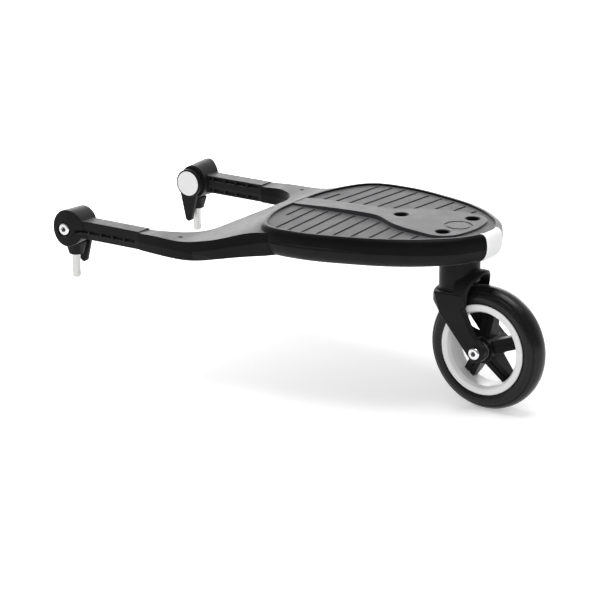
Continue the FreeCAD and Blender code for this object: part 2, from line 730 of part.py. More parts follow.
def deck_cavity(screws):
    """Hollow of the deck, with ribs and posts left standing."""
    low = DECK_PART_Z - DECK_LOWER_H + DECK_WALL
    high = WELL_Z - DECK_WALL
    hollow = tilted(deck_prism(low, high, CAVITY_INSET))
    stay = [box(0, REACH * 2, -RIB_T / 2, RIB_T / 2, low - REACH, high + REACH)]
    rib_x = DECK_FRONT_X + RIB_PITCH
    while rib_x < DECK_TAIL_X - CAVITY_INSET:
        stay.append(box(rib_x, rib_x + RIB_T, -REACH, REACH, low - REACH, high + REACH))
        rib_x += RIB_PITCH
    stay.append(rod_z(HOUSING_R + DECK_WALL, low - REACH, high + REACH, STEM_X))
    for x, y in zip(SOCKET_X, SOCKET_Y):
        stay.append(rod_z(SOCKET_R + SOCKET_WALL + RIB_T, low - REACH, high + REACH, x, y))
    for x, y, _, _ in screws:
        stay.append(rod_z(SCREW_POST_R, low - REACH, high + REACH, x, y))
    return hollow.cut(stay)


def housing_screw_places():
    places = []
    for k in range(HOUSING_SCREW_COUNT):
        turn = math.radians(360 * k / HOUSING_SCREW_COUNT)
        x = STEM_X + HOUSING_SCREW_PCD_R * math.cos(turn)
        places.append((x, HOUSING_SCREW_PCD_R * math.sin(turn)))
    return places


def housing_screw_seat():
    """Height of the faces under the heads of the housing's screws."""
    return deck_level(WELL_Z, STEM_X - HOUSING_SCREW_PCD_R) - SCREW_HEAD_T - FIT


def parting_groove():
    """Ring round the deck, just under its parting line."""
    low = DECK_PART_Z - PART_GROOVE_H
    ring = deck_prism(low, DECK_PART_Z + OVER, -OVER)
    return tilted(ring.cut(deck_prism(low, DECK_PART_Z + OVER, PART_GROOVE_DEPTH)))


def chassis():
    """Upper and lower mouldings of the yoke and the deck, and the strip round the tail."""
    frame = frame_band().common(frame_plan())
    whole = union(frame, tilted(deck_bullnose(0.0)))
    well = tilted(deck_prism(WELL_Z, RIM_TOP_Z + REACH, RIM_W))
    screws = cover_screw_places()
    tools = [well, deck_cavity(screws), spigot_pocket(), mirrored(spigot_pocket())]
    tools += socket_holes()
    tools += [screw_hole(*place) for place in screws]
    tools.append(rod_z(HOUSING_R + FIT, FLOOR_Z, HOUSING_SHOULDER_Z, STEM_X))
    tools.append(rod_z(HOUSING_BOSS_R + FIT, FLOOR_Z, HOUSING_TOP_Z, STEM_X))
    head_z = housing_screw_seat()
    for x, y in housing_screw_places():
        tools.append(rod_z(SCREW_HEAD_R + FIT, head_z, RIM_TOP_Z + REACH, x, y))
        tools.append(rod_z(SCREW_R + THREAD_FIT, HOUSING_TOP_Z, head_z, x, y))
    for side in (1, -1):
        tools.append(rod_z(BUTTON_R + FIT, HUB_H, ARM_TOP_Z + OVER, BUTTON_X, side * ARM_MID_Y))
    whole = whole.cut(tools)
    tail = box(DECK_TAIL_X - STRIP_HALF * 3, DECK_TAIL_X + STRIP_HALF, -STRIP_HALF, STRIP_HALF,
               DECK_PART_Z - STRIP_DROP, RIM_TOP_Z + OVER)
    strip_space = tilted(tail.cut(deck_bullnose(STRIP_T)))
    strip = whole.common(strip_space)
    whole = whole.cut(strip_space)
    below = below_parting()
    front = box(0, YOKE_END_X, -REACH / 2, REACH / 2, FLOOR_Z, REACH)
    upper = whole.cut(below)
    lower = whole.common(below).cut(parting_groove().cut(frame))
    return upper.common(front), upper.cut(front), lower.common(front), lower.cut(front), strip


def ellipse_wire(half_x, half_z, y):
    """Outline of the hub at y."""
    centre = V(HUB_SHIFT_X, y, HUB_H + HUB_SHIFT_Z)
    ends = [(half_x, V(half_x, 0, 0)), (half_z, V(0, 0, half_z))]
    ends.sort(key=lambda pair: pair[0])
    curve = Part.Ellipse(centre + ends[1][1], centre + ends[0][1], centre)
    return Part.Wire(curve.toShape())


def swing_space(half):
    """Side view of what the connector's neck sweeps through, from limit to limit."""
    low = math.radians(CONNECTOR_MIN_DEG - SWING_MARGIN_DEG)
    high = math.radians(CONNECTOR_MAX_DEG + SWING_MARGIN_DEG)
    reach = REACH / 4

    def place(turn, side, out):
        x = side * half * math.cos(turn) - out * math.sin(turn)
        z = -side * half * math.sin(turn) - out * math.cos(turn)
        return (x, HUB_H + z)

    return [place(low, 1, 0), place(low, 1, reach), (-reach, HUB_H - reach),
            place(high, -1, reach), place(high, -1, 0)]


def arm():
    section = [(ARM_IN_Y, ARM_BELT_Z), (ARM_IN_Y, ARM_TOP_Z), (ARM_OUT_Y, ARM_TOP_Z),
               (ARM_OUT_Y, ARM_BELT_Z), (ARM_OUT_Y - ARM_TAPER, ARM_BOTTOM_Z),
               (ARM_IN_Y + ARM_TAPER, ARM_BOTTOM_Z)]
    bar = plate_yz(section, HUB_SHIFT_X, ARM_SEAM_X)
    bar = round_edges(bar, ARM_EDGE_R, lambda e: along_x(e) and e.BoundBox.ZMin > ARM_TOP_Z - GAP)
    hub = Part.makeLoft([ellipse_wire(HUB_IN_HALF_X, HUB_IN_HALF_Z, HUB_IN_Y),
                         ellipse_wire(HUB_HALF_X, HUB_HALF_Z, HUB_OUT_Y)], True, True)
    slant = plate_xy([(NECK_START_X, HUB_OUT_Y), (NECK_END_X, ARM_OUT_Y), (NECK_END_X, HUB_OUT_Y + OVER),
                      (NECK_START_X, HUB_OUT_Y + OVER)], FLOOR_Z, REACH)
    hub = hub.cut(slant)
    hub = round_edges(hub, HUB_EDGE_R, lambda e: e.BoundBox.YMax > ARM_OUT_Y and not along_z(e))
    cheek = [(HUB_SHIFT_X, CHEEK_Y - ARM_EDGE_R), (HUB_SHIFT_X, HUB_OUT_Y - HUB_EDGE_R),
             (NECK_START_X, HUB_OUT_Y - HUB_EDGE_R), (NECK_END_X, ARM_OUT_Y - ARM_EDGE_R),
             (NECK_END_X, CHEEK_Y - ARM_EDGE_R)]
    neck = plate_xy(cheek, ARM_BOTTOM_Z + ARM_EDGE_R, ARM_TOP_Z)
    hump = [(HUB_SHIFT_X, HUB_H), (HUB_SHIFT_X, HUB_H + HUMP_H), (HUMP_X, HUB_H + HUMP_H),
            (HUMP_END_X, ARM_TOP_Z), (HUMP_END_X, HUB_H)]
    hump = plate_xz(hump, ARM_IN_Y + ARM_EDGE_R, CHEEK_Y + ARM_EDGE_R)
    half_w = SPIGOT_W / 2
    spigot = box(ARM_SEAM_X, ARM_SEAM_X + SPIGOT_L, ARM_MID_Y - half_w, ARM_MID_Y + half_w,
                 HUB_H - SPIGOT_H / 2, HUB_H + SPIGOT_H / 2)
    whole = union(bar, hub, neck, hump, spigot)

    seat_y = HUB_OUT_Y - BOLT_RECESS_DEPTH
    tools = [rod_y(DRUM_R + GAP, HUB_IN_Y - OVER, CHEEK_Y)]
    tools.append(plate_xz(swing_space(NECK_HALF + GAP), HUB_IN_Y - OVER, CHEEK_Y))
    tools.append(rod_y(BOLT_RECESS_R, seat_y, HUB_OUT_Y + OVER))
    tools.append(rod_y(BOLT_SHOULDER_R + RUN + BUSH_WALL + THREAD_FIT, CHEEK_Y - OVER, seat_y + OVER))
    hub_end = HUB_SHIFT_X + HUB_HALF_X + SLOT_BRIDGE / 2
    for k in range(SLOT_COUNT):
        start = SLOT_START_X + k * SLOT_PITCH
        end = start + SLOT_PITCH - SLOT_BRIDGE
        low = HUB_H - SLOT_OUTER_DROP - SLOT_H / 2
        tools.append(box(start, end, ARM_OUT_Y - SLOT_DEPTH, HUB_OUT_Y + OVER, low, low + SLOT_H))
        begin = max(start, hub_end)
        for row in (SLOT_ROW_Z, -SLOT_ROW_Z):
            low = HUB_H + row - SLOT_H / 2
            tools.append(box(begin, end, ARM_IN_Y - OVER, ARM_IN_Y + SLOT_DEPTH, low, low + SLOT_H))
    cap_z = HUB_H + SPIGOT_H / 2 - BUTTON_CAP
    floor_z = HUB_H - SPIGOT_H / 2 + SPIGOT_FLOOR
    tools.append(rod_z(BUTTON_R + FIT, HUB_H, HUB_H + SPIGOT_H, BUTTON_X, ARM_MID_Y))
    tools.append(rod_z(BUTTON_FLANGE_R + FIT, floor_z, cap_z, BUTTON_X, ARM_MID_Y))
    return whole.cut(tools)


def along_x(edge):
    return edge.BoundBox.YLength < GAP and edge.BoundBox.ZLength < GAP


def along_z(edge):
    return edge.BoundBox.XLength < GAP and edge.BoundBox.YLength < GAP


def pivot_bolt():
    seat_y = HUB_OUT_Y - BOLT_RECESS_DEPTH + GAP / 2
    head = rod_y(BOLT_HEAD_R, seat_y, seat_y + BOLT_HEAD_T)
    head = round_edges(head, BOLT_HEAD_ROUND, lambda e: e.BoundBox.YMin > seat_y + BOLT_HEAD_T - GAP)
    shoulder = rod_y(BOLT_SHOULDER_R, DRUM_OUT_Y, seat_y)
    thread = rod_y(BOLT_THREAD_R - THREAD_FIT, DRUM_OUT_Y - BOLT_THREAD_L, DRUM_OUT_Y)
    top = seat_y + BOLT_HEAD_T
    return union(head, shoulder, thread).cut(hexagon_y(HEX_R, top - HEX_DEPTH, top + OVER, 0, HUB_H))


def pivot_bush():
    inner = BOLT_SHOULDER_R + RUN
    seat_y = HUB_OUT_Y - BOLT_RECESS_DEPTH
    return rod_y(inner + BUSH_WALL, CHEEK_Y, seat_y).cut(rod_y(inner, CHEEK_Y - OVER, seat_y + OVER))


def pivot_insert():
    low = DRUM_OUT_Y - BOLT_THREAD_L
    bore = rod_y(BOLT_THREAD_R, low - OVER, DRUM_OUT_Y + OVER)
    return rod_y(BOLT_THREAD_R + INSERT_WALL, low, DRUM_OUT_Y).cut(bore)


def rounded_wire(half_x, half_y, radius, x, y, z):
    """Rectangle with round corners, level at height z."""
    edges = []
    bend = radius * (1 - math.sqrt(0.5))
    corners = [(1, 1), (-1, 1), (-1, -1), (1, -1)]
    for k, (sx, sy) in enumerate(corners):
        beside = V(x + sx * half_x, y + sy * (half_y - radius), z)
        above = V(x + sx * (half_x - radius), y + sy * half_y, z)
        middle = V(x + sx * (half_x - bend), y + sy * (half_y - bend), z)
        start, end = (beside, above) if k % 2 == 0 else (above, beside)
        edges.append((start, middle, end))
    shapes = []
    for k, (start, middle, end) in enumerate(edges):
        shapes.append(Part.Arc(start, middle, end).toShape())
        shapes.append(Part.LineSegment(end, edges[(k + 1) % 4][0]).toShape())
    return Part.Wire(shapes)


def pin_top_z():
    return HUB_H - plunger_head_low() - PIN_TOP_GAP


def plunger_head_low():
    """Depth of the plunger head's lower face under the hub axis, at rest."""
    return ECCENTRIC * math.sin(math.radians(LEVER_TURN_DEG / 2)) + PLUNGER_HEAD_H / 2


def eccentric_place():
    turn = math.radians(LEVER_TURN_DEG / 2)
    return -ECCENTRIC * math.cos(turn), HUB_H - ECCENTRIC * math.sin(turn)


def plunger_box(clear, lift):
    """Block at the plunger's head; clear widens it and lift stretches it upwards."""
    reach = ECCENTRIC + ECCENTRIC_R + YOKE_CLEAR + PLUNGER_HEAD_WALL
    low = HUB_H - plunger_head_low()
    half = PLUNGER_HEAD_T / 2 + clear
    return box(-reach - clear, PLUNGER_R + clear, PIN_Y - half, PIN_Y + half,
               low - clear, low + PLUNGER_HEAD_H + lift + clear)


def plunger():
    low = HUB_H - plunger_head_low()
    tip = -PIN_LENGTH + PIN_END_WALL + GAP
    rod = rod_z(PLUNGER_R, tip + PLUNGER_TIP_L, low + OVER, 0, PIN_Y)
    end = rod_z(PLUNGER_TIP_R, tip, tip + PLUNGER_TIP_L, 0, PIN_Y)
    x, z = eccentric_place()
    half_x = (ECCENTRIC + x) / 2 + ECCENTRIC_R + YOKE_CLEAR
    half_z = ECCENTRIC_R + YOKE_CLEAR
    middle = (x - ECCENTRIC) / 2
    yoke = box(middle - half_x, middle + half_x, PIN_Y - PLUNGER_HEAD_T, PIN_Y + PLUNGER_HEAD_T,
               z - half_z, z + half_z)
    return union(plunger_box(0, 0), rod, end).cut(yoke)


def plunger_lift():
    return 2 * ECCENTRIC * math.sin(math.radians(LEVER_TURN_DEG / 2))


def connector():
    drum = rod_y(DRUM_R, HUB_IN_Y, DRUM_OUT_Y)
    neck = box(-NECK_HALF, NECK_HALF, PIN_Y - BOSS_BOTTOM_R, PIN_Y + BOSS_BOTTOM_R, BOSS_H - OVER, HUB_H)
    top = rounded_wire(BOSS_TOP_HALF_X, BOSS_TOP_HALF_Y, BOSS_TOP_CORNER, 0, PIN_Y, BOSS_H)
    bottom = rounded_wire(BOSS_BOTTOM_R, BOSS_BOTTOM_R, BOSS_BOTTOM_CORNER, 0, PIN_Y, 0)
    boss = Part.makeLoft([top, bottom], True, True)
    shaft_end = HUB_IN_Y + LEVER_SHAFT_L + GAP
    room = plunger_box(GAP, plunger_lift())
    bounds = room.BoundBox
    way_in = box(bounds.XMin, bounds.XMax, shaft_end - OVER, PIN_Y, bounds.ZMin, bounds.ZMax)
    tools = [room, way_in, rod_y(LEVER_SHAFT_R + RUN, HUB_IN_Y - OVER, shaft_end)]
    tools.append(rod_z(PIN_ROOT_R + THREAD_FIT, -OVER, pin_top_z(), 0, PIN_Y))
    tools.append(rod_z(PIN_BORE_R, pin_top_z() - OVER, HUB_H, 0, PIN_Y))
    insert_r = BOLT_THREAD_R + INSERT_WALL + THREAD_FIT
    tools.append(rod_y(insert_r, DRUM_OUT_Y - BOLT_THREAD_L, DRUM_OUT_Y + OVER))
    tools.append(retainer(THREAD_FIT))
    return union(drum, neck, boss).cut(tools)


def retainer(extra):
    """Dowel across the groove of the lever's shaft."""
    half = math.sqrt(DRUM_R ** 2 - LEVER_SHAFT_R ** 2) - RETAINER_R
    start = V(-half, HUB_IN_Y + LEVER_SHAFT_L / 2, HUB_H + LEVER_SHAFT_R)
    return Part.makeCylinder(RETAINER_R + extra, 2 * half, start, X_AXIS)


def lever():
    disc = rod_y(LEVER_R, LEVER_IN_Y, LEVER_OUT_Y)
    disc = disc.makeFillet(LEVER_EDGE_R, [e for e in disc.Edges if e.BoundBox.YLength < GAP])
    tip_z = HUB_H - TONGUE_LENGTH + TONGUE_TIP_R
    root_z = HUB_H - math.sqrt(LEVER_R ** 2 - TONGUE_ROOT_HALF ** 2) + OVER
    tongue_y = LEVER_IN_Y + TONGUE_SETBACK
    outline = [(-TONGUE_ROOT_HALF, root_z), (TONGUE_ROOT_HALF, root_z), (TONGUE_TIP_R, tip_z),
               (-TONGUE_TIP_R, tip_z)]
    tongue = plate_xz(outline, tongue_y, tongue_y + TONGUE_T)
    tongue = union(tongue, rod_y(TONGUE_TIP_R, tongue_y, tongue_y + TONGUE_T, 0, tip_z))
    shaft_end = HUB_IN_Y + LEVER_SHAFT_L
    shaft = rod_y(LEVER_SHAFT_R, LEVER_OUT_Y - OVER, shaft_end)
    x, z = eccentric_place()
    crank = rod_y(ECCENTRIC_R, shaft_end - OVER, PIN_Y + PLUNGER_HEAD_T / 2, x, z)
    groove_y = HUB_IN_Y + LEVER_SHAFT_L / 2
    half = RETAINER_R + FIT
    groove = rod_y(LEVER_SHAFT_R + OVER, groove_y - half, groove_y + half)
    groove = groove.cut(rod_y(LEVER_SHAFT_R - half, groove_y - half, groove_y + half))
    seat = rod_y(CAP_R + FIT, LEVER_IN_Y - OVER, LEVER_IN_Y + CAP_SEAT)
    return union(disc, tongue, shaft, crank).cut([groove, seat])


def lever_cap():
    face_y = LEVER_IN_Y + CAP_SEAT - CAP_T
    cap = rod_y(CAP_R, face_y, face_y + CAP_T)
    return round_edges(cap, CAP_EDGE_R, lambda e: e.BoundBox.YMax < face_y + GAP)


def pin():
    rod = rod_z(PIN_R, -PIN_LENGTH, -PIN_RELIEF, 0, PIN_Y)
    tip = [e for e in rod.Edges if e.BoundBox.ZMax < GAP - PIN_LENGTH]
    rod = rod.makeChamfer(PIN_TIP_BEVEL, tip)
    rod = union(rod, rod_z(PIN_ROOT_R, -PIN_RELIEF, pin_top_z(), 0, PIN_Y))
    bore = rod_z(PIN_BORE_R, PIN_END_WALL - PIN_LENGTH, pin_top_z() + OVER, 0, PIN_Y)
    ball_z = BALL_SETBACK - PIN_LENGTH
    cross = Part.makeCylinder(BALL_R + RUN, 4 * PIN_R, V(-2 * PIN_R, PIN_Y, ball_z), X_AXIS)
    return rod.cut([bore, cross])


def lock_balls():
    ball_z = BALL_SETBACK - PIN_LENGTH
    out = PIN_R - BALL_R - RUN
    balls = [Part.makeSphere(BALL_R, V(side * out, PIN_Y, ball_z)) for side in (1, -1)]
    return Part.makeCompound(balls)


def lock_button():
    cap_z = HUB_H + SPIGOT_H / 2 - BUTTON_CAP
    flange = rod_z(BUTTON_FLANGE_R, cap_z - BUTTON_FLANGE_T, cap_z, BUTTON_X, ARM_MID_Y)
    top = ARM_TOP_Z - BUTTON_SINK
    stud = rod_z(BUTTON_R, cap_z - BUTTON_FLANGE_T, top, BUTTON_X, ARM_MID_Y)
    stud = round_edges(stud, BUTTON_ROUND, lambda e: e.BoundBox.ZMin > top - GAP)
    return union(flange, stud)


def button_spring():
    low = HUB_H - SPIGOT_H / 2 + SPIGOT_FLOOR
    high = HUB_H + SPIGOT_H / 2 - BUTTON_CAP - BUTTON_FLANGE_T
    radius = (high - low) / 2
    y0 = ARM_MID_Y - SPRING_W / 2
    ring = rod_y(radius, y0, y0 + SPRING_W, BUTTON_X, low + radius)
    inside = radius - SPRING_WALL
    return ring.cut(rod_y(inside, y0 - OVER, y0 + SPRING_W + OVER, BUTTON_X, low + radius))


def caster_housing():
    """Bearing tube in the deck; only its collar shows underneath."""
    pocket = HOUSING_TOP_Z - TOP_POCKET_DEPTH
    seat = HOUSING_BOTTOM_Z + SWIVEL_FLANGE_T
    flange_r = SWIVEL_FLANGE_R + FIT
    outline = [(flange_r, HOUSING_BOTTOM_Z), (HOUSING_R, HOUSING_BOTTOM_Z),
               (HOUSING_R, HOUSING_SHOULDER_Z), (HOUSING_BOSS_R, HOUSING_SHOULDER_Z),
               (HOUSING_BOSS_R, HOUSING_TOP_Z), (TOP_POCKET_R, HOUSING_TOP_Z), (TOP_POCKET_R, pocket),
               (SWIVEL_BUSH_R, pocket), (SWIVEL_BUSH_R, seat), (flange_r, seat)]
    body = turned_z(outline, STEM_X, 0)
    low = HOUSING_TOP_Z - HOUSING_SCREW_L
    holes = []
    for x, y in housing_screw_places():
        holes.append(rod_z(SCREW_R + THREAD_FIT, low, HOUSING_TOP_Z + OVER, x, y))
    return body.cut(holes)


def housing_screws():
    seat = housing_screw_seat()
    low = HOUSING_TOP_Z - HOUSING_SCREW_L
    screws = []
    for x, y in housing_screw_places():
        head = rod_z(SCREW_HEAD_R, seat, seat + SCREW_HEAD_T - FIT, x, y)
        screws.append(head.fuse(rod_z(SCREW_R, low, seat, x, y)))
    return Part.makeCompound(screws)


def swivel_bush(flange_z, sleeve_up):
    inner = STEM_R + RUN
    outer = SWIVEL_BUSH_R - THREAD_FIT
    flange = rod_z(SWIVEL_FLANGE_R, flange_z, flange_z + SWIVEL_FLANGE_T, STEM_X)
    start = flange_z + SWIVEL_FLANGE_T if sleeve_up else flange_z - SWIVEL_BUSH_L
    sleeve = rod_z(outer, start, start + SWIVEL_BUSH_L, STEM_X)
    return union(flange, sleeve).cut(rod_z(inner, FLOOR_Z, HOUSING_TOP_Z, STEM_X))


def upper_flange_z():
    return HOUSING_TOP_Z - TOP_POCKET_DEPTH


def clip_z():
    return upper_flange_z() + SWIVEL_FLANGE_T + GAP / 2


def stem():
    rod = rod_z(STEM_R, COLUMN_TOP_Z - STEM_SINK, HOUSING_TOP_Z - STEM_TOP_GAP, STEM_X)
    ring = rod_z(STEM_R + OVER, clip_z(), clip_z() + CLIP_T, STEM_X)
    return rod.cut(ring.cut(rod_z(STEM_R - CLIP_GROOVE, clip_z(), clip_z() + CLIP_T, STEM_X)))


def stem_clip():
    ring = rod_z(CLIP_R, clip_z(), clip_z() + CLIP_T, STEM_X)
    low = clip_z() - OVER
    high = clip_z() + CLIP_T + OVER
    bore = rod_z(STEM_R - CLIP_GROOVE + THREAD_FIT, low, high, STEM_X)
    mouth = box(STEM_X, STEM_X + CLIP_R + OVER, -CLIP_MOUTH, CLIP_MOUTH, low, high)
    return ring.cut([bore, mouth])


def thrust_washer():
    ring = rod_z(SWIVEL_FLANGE_R, WASHER_Z, WASHER_Z + THRUST_T, STEM_X)
    return ring.cut(rod_z(STEM_R + FIT, WASHER_Z - OVER, WASHER_Z + THRUST_T + OVER, STEM_X))


def lies_at_y(edge, y):
    return max(abs(edge.BoundBox.YMin - y), abs(edge.BoundBox.YMax - y)) < GAP / 2


def on_hood_end(edge):
    """Whether an edge bounds the hood's outside at its open end."""
    for point in edge.discretize(OUTLINE_SAMPLES):
        across = math.hypot(point.y, point.z - FLOOR_Z - HOOD_AXIS_H)
        out = math.hypot(point.x - STEM_X, point.y)
        if abs(across - HOOD_R) > GAP / 2 or abs(out - HOOD_REACH) > GAP / 2:
            return False
    return True


def fork():
    cone_top = CROWN_TOP_Z - CROWN_ROUND - CROWN_FLAT_H
    crown = rod_z(CROWN_R, cone_top, CROWN_TOP_Z, STEM_X)
    crown = round_edges(crown, CROWN_ROUND, lambda e: e.BoundBox.ZMin > CROWN_TOP_Z - GAP)
    cone = Part.makeCone(CROWN_CONE_R, CROWN_R, CROWN_CONE_H, V(STEM_X, 0, cone_top - CROWN_CONE_H))
    column = rod_z(HOUSING_R, cone_top, COLUMN_TOP_Z, STEM_X)
    seam_top = CROWN_TOP_Z + SEAM_W
    seam = rod_z(HOUSING_R + OVER, CROWN_TOP_Z, seam_top, STEM_X)
    column = column.cut(seam.cut(rod_z(HOUSING_R - SEAM_DEPTH, CROWN_TOP_Z, seam_top, STEM_X)))

    hood_z = FLOOR_Z + HOOD_AXIS_H
    start = V(STEM_X + HOOD_START, 0, hood_z)
    hood = Part.makeCylinder(HOOD_R, HOOD_REACH, start, X_AXIS)
    inside = Part.makeCylinder(HOOD_R - HOOD_WALL, HOOD_REACH + 2 * OVER, start - X_AXIS * OVER, X_AXIS)
    under = box(STEM_X, AXLE_X + WHEEL_R, -CROWN_R, CROWN_R, FLOOR_Z, hood_z - HOOD_WALL)
    hood = hood.cut([inside, under])
    hood = hood.common(rod_z(HOOD_REACH, FLOOR_Z, HOUSING_TOP_Z, STEM_X))
    hood = round_edges(hood, HOOD_END_R, on_hood_end)

    top = [(STEM_X + x, CROWN_TOP_Z + z) for x, z in (BLADE_FRONT_TOP, BLADE_FRONT_KNEE)]
    rear = [(STEM_X + x, CROWN_TOP_Z + z) for x, z in (BLADE_REAR_KNEE, BLADE_REAR_TOP)]
    run = V(AXLE_X - top[1][0], 0, AXLE_Z - top[1][1])
    lean = math.atan2(run.z, run.x) - math.asin(BLADE_END_R / run.Length)
    front_end = (AXLE_X + BLADE_END_R * math.sin(lean), AXLE_Z - BLADE_END_R * math.cos(lean))
    rear_low = (AXLE_X + BLADE_REAR_LOW[0], AXLE_Z + BLADE_REAR_LOW[1])
    rear_end = (AXLE_X + BLADE_END_R * math.cos(BLADE_END_TURN),
                AXLE_Z + BLADE_END_R * math.sin(BLADE_END_TURN))
    outline = top + [front_end, rear_end, rear_low] + rear
    blades = []
    for side in (1, -1):
        near, far = sorted((side * FORK_IN_Y, side * FORK_OUT_Y))
        blade = union(plate_xz(outline, near, far), rod_y(BLADE_END_R, near, far, AXLE_X, AXLE_Z))
        outer = side * FORK_OUT_Y
        blades.append(round_edges(blade, FORK_EDGE_R, lambda e: lies_at_y(e, outer)))
    body = union(crown, cone, column)
    body = body.common(box(STEM_X - CROWN_R, STEM_X + CROWN_R, -FORK_OUT_Y, FORK_OUT_Y,
                           FLOOR_Z, HOUSING_TOP_Z))
    body = union(body, hood, *blades)
    passage = rod_y(WHEEL_R + TYRE_CLEAR, -FORK_IN_Y, FORK_IN_Y, AXLE_X, AXLE_Z)
    stem_hole = rod_z(STEM_R + THREAD_FIT, COLUMN_TOP_Z - STEM_SINK, HOUSING_TOP_Z, STEM_X)
    washer_seat = rod_z(SWIVEL_FLANGE_R + FIT, WASHER_Z, HOUSING_TOP_Z, STEM_X)
    axle_hole = rod_y(AXLE_R + RUN, -FORK_OUT_Y - OVER, FORK_OUT_Y + OVER, AXLE_X, AXLE_Z)
    return body.cut([passage, stem_hole, washer_seat, axle_hole])


def tyre():
    """Round tyre with a fine groove along each shoulder."""
    def at(radius, y):
        return V(AXLE_X + radius, y, AXLE_Z)

    edges = [Part.LineSegment(at(TYRE_SEAT_R, -TYRE_BEAD_HALF), at(TYRE_SEAT_R, TYRE_BEAD_HALF)).toShape()]
    for side in (1, -1):
        bead = at(TYRE_SEAT_R, side * TYRE_BEAD_HALF)
        wall = at(TYRE_SEAT_R + TYRE_BEAD_H, side * (TYRE_HALF_W - TYRE_WALL_BULGE))
        belly = at(TYRE_SEAT_R + TYRE_BELLY_H, side * TYRE_HALF_W)
        shoulder = at(WHEEL_R - TYRE_SHOULDER_H, side * (TYRE_HALF_W - TYRE_SHOULDER_IN))
        quarter = at(WHEEL_R - TYRE_CROWN_DROP, side * TYRE_CROWN_HALF)
        edges.append(Part.LineSegment(bead, wall).toShape())
        edges.append(Part.Arc(wall, belly, shoulder).toShape())
        edges.append(Part.Arc(shoulder, quarter, at(WHEEL_R, 0)).toShape())
    face = Part.Face(Part.Wire(Part.__sortEdges__(edges)))
    ring = face.revolve(V(AXLE_X, 0, AXLE_Z), Y_AXIS, 360)
    grooves = []
    for side in (1, -1):
        middle = V(AXLE_X, side * (TYRE_HALF_W - TYRE_SHOULDER_IN), AXLE_Z)
        grooves.append(Part.makeTorus(WHEEL_R - TYRE_SHOULDER_H, TYRE_GROOVE_R, middle, Y_AXIS))
    return ring.cut(grooves)


def rim():
    half = [(TYRE_SEAT_R - THREAD_FIT, TYRE_BEAD_HALF), (RIM_LIP_R, TYRE_BEAD_HALF + RIM_LIP_BACK),
            (RIM_LIP_R, RIM_FACE - RIM_BEVEL), (RIM_LIP_R - RIM_BEVEL, RIM_FACE),
            (RIM_BARREL_R + RIM_BEVEL, RIM_FACE), (RIM_BARREL_R, RIM_FACE - RIM_BEVEL),
            (RIM_WAIST_R, RIM_WAIST_HALF)]
    other = [(r, -y) for r, y in reversed(half)]
    return turned_y(half + other, AXLE_X, AXLE_Z)


def wheel_centre():
    hub = rod_y(WHEEL_HUB_R, -WHEEL_HUB_HALF, WHEEL_HUB_HALF, AXLE_X, AXLE_Z)
    end = RIM_WAIST_R - THREAD_FIT
    front = [(0, SPOKE_HUB_Y), (WHEEL_HUB_R, SPOKE_HUB_Y), (RIM_WAIST_R, SPOKE_RIM_Y)]
    spoke = plate_xy(front + [(RIM_WAIST_R, SPOKE_FAR_Y), (0, SPOKE_FAR_Y)], -SPOKE_W / 2, SPOKE_W / 2)
    channel = front + [(x, y + SPOKE_CHANNEL_DEPTH) for x, y in reversed(front)]
    spoke = spoke.cut(plate_xy(channel, -SPOKE_CHANNEL_W / 2, SPOKE_CHANNEL_W / 2))
    spoke = spoke.common(rod_y(end, -WHEEL_HUB_HALF, WHEEL_HUB_HALF, 0, 0))
    spokes = []
    for k in range(SPOKE_COUNT):
        one = spoke.copy()
        one.rotate(V(0, 0, 0), Y_AXIS, -(SPOKE_PHASE_DEG + 360 * k / SPOKE_COUNT))
        one.translate(V(AXLE_X, 0, AXLE_Z))
        spokes.append(one)
    whole = union(hub, *spokes)
    tools = [rod_y(WHEEL_BORE_R, -WHEEL_HUB_HALF - OVER, WHEEL_HUB_HALF + OVER, AXLE_X, AXLE_Z)]
    for y0 in (WHEEL_HUB_HALF - BEARING_W, -WHEEL_HUB_HALF):
        tools.append(rod_y(BEARING_R, y0, y0 + BEARING_W, AXLE_X, AXLE_Z))
    return whole.cut(tools)


def wheel_bearings():
    rings = []
    for y0 in (WHEEL_HUB_HALF - BEARING_W, -WHEEL_HUB_HALF):
        ring = rod_y(BEARING_R - THREAD_FIT, y0, y0 + BEARING_W, AXLE_X, AXLE_Z)
        bore = rod_y(AXLE_R + RUN, y0 - OVER, y0 + BEARING_W + OVER, AXLE_X, AXLE_Z)
        rings.append(ring.cut(bore))
    return Part.makeCompound(rings)


def axle_spacers():
    rings = []
    for y0 in (WHEEL_HUB_HALF + GAP / 4, -FORK_IN_Y):
        length = FORK_IN_Y - WHEEL_HUB_HALF - GAP / 4
        ring = rod_y(SPACER_R, y0, y0 + length, AXLE_X, AXLE_Z)
        bore = rod_y(AXLE_R + RUN, y0 - OVER, y0 + length + OVER, AXLE_X, AXLE_Z)
        rings.append(ring.cut(bore))
    return Part.makeCompound(rings)


def axle_bolt():
    outer = -FORK_OUT_Y - AXLE_HEAD_T
    head = rod_y(AXLE_HEAD_R, outer, -FORK_OUT_Y, AXLE_X, AXLE_Z)
    head = round_edges(head, AXLE_HEAD_ROUND, lambda e: e.BoundBox.YMax < outer + GAP)
    shank = rod_y(AXLE_R, -FORK_OUT_Y, FORK_OUT_Y + AXLE_NUT_T + AXLE_END, AXLE_X, AXLE_Z)
    return union(head, shank).cut(hexagon_y(HEX_R, outer - OVER, outer + HEX_DEPTH, AXLE_X, AXLE_Z))


def axle_nut():
    nut = hexagon_y(AXLE_NUT_R, FORK_OUT_Y, FORK_OUT_Y + AXLE_NUT_T, AXLE_X, AXLE_Z)
    low = FORK_OUT_Y - OVER
    high = FORK_OUT_Y + AXLE_NUT_T + OVER
    return nut.cut(rod_y(AXLE_R + THREAD_FIT, low, high, AXLE_X, AXLE_Z))


